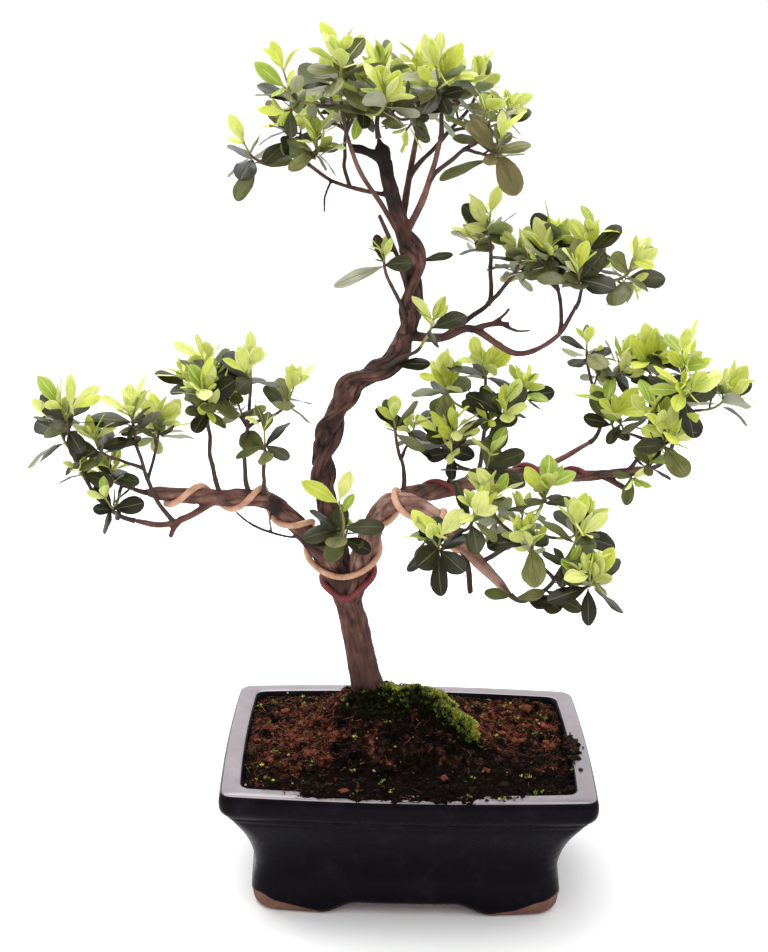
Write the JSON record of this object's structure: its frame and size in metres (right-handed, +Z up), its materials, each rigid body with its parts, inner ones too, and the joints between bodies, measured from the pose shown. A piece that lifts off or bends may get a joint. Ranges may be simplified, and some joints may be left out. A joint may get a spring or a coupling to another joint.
{
  "type": "potted azalea bonsai",
  "caption": "Azalea bonsai with a leaning, twisted trunk, wired side boughs and open pads of leaf rosettes, planted in a dark glazed rectangular pot with low corner feet.",
  "frame": {"origin": "on the table, under the middle of the whole plant's box", "axes": "+Z up, the pot's long front towards -Y, +X to the right as seen from the front"},
  "size_m": [0.4012, 0.2206, 0.4613],
  "materials": {
    "glaze": "dark glossy glaze, bare clay at the feet",
    "soil": "loose fibrous peat",
    "moss": "soft tufted moss",
    "wire_tan": "satin coated wire",
    "wire_red": "satin coated wire",
    "bark": "rough flaking bark",
    "leaf": "soft satin leaves"
  },
  "bodies": {
    "root": {"bough_left": "bark", "bough_left_arm": "bark", "bough_left_low": "bark", "bough_right": "bark", "bough_right_back": "bark", "bough_right_front": "bark", "bough_right_rise": "bark", "bough_top_back": "bark", "bough_top_left": "bark", "bough_top_right": "bark", "bough_top_side": "bark", "bough_upper_right": "bark", "bough_upper_rise": "bark", "bough_upper_tip": "bark", "foliage_centre_left": "leaf", "foliage_centre_mid": "leaf", "foliage_centre_right": "leaf", "foliage_fork": "leaf", "foliage_front_inner": "leaf", "foliage_front_mid": "leaf", "foliage_front_tip": "leaf", "foliage_left_inner": "leaf", "foliage_left_low": "leaf", "foliage_left_mid": "leaf", "foliage_left_outer": "leaf", "foliage_left_root": "leaf", "foliage_left_tip": "leaf", "foliage_right_crest": "leaf", "foliage_right_low": "leaf", "foliage_right_outer": "leaf", "foliage_right_rise": "leaf", "foliage_top_back": "leaf", "foliage_top_back_left": "leaf", "foliage_top_back_right": "leaf", "foliage_top_crest": "leaf", "foliage_top_left": "leaf", "foliage_top_right": "leaf", "foliage_top_right_low": "leaf", "foliage_top_side": "leaf", "foliage_trunk_left": "leaf", "foliage_trunk_right": "leaf", "foliage_upper_mid": "leaf", "foliage_upper_rise": "leaf", "foliage_upper_side": "leaf", "foliage_upper_tip": "leaf", "moss": "moss", "pot": "glaze", "soil": "soil", "trunk": "bark", "wire_red_bough": "wire_red", "wire_red_fork": "wire_red", "wire_tan": "wire_tan"}
  },
  "joints": []
}
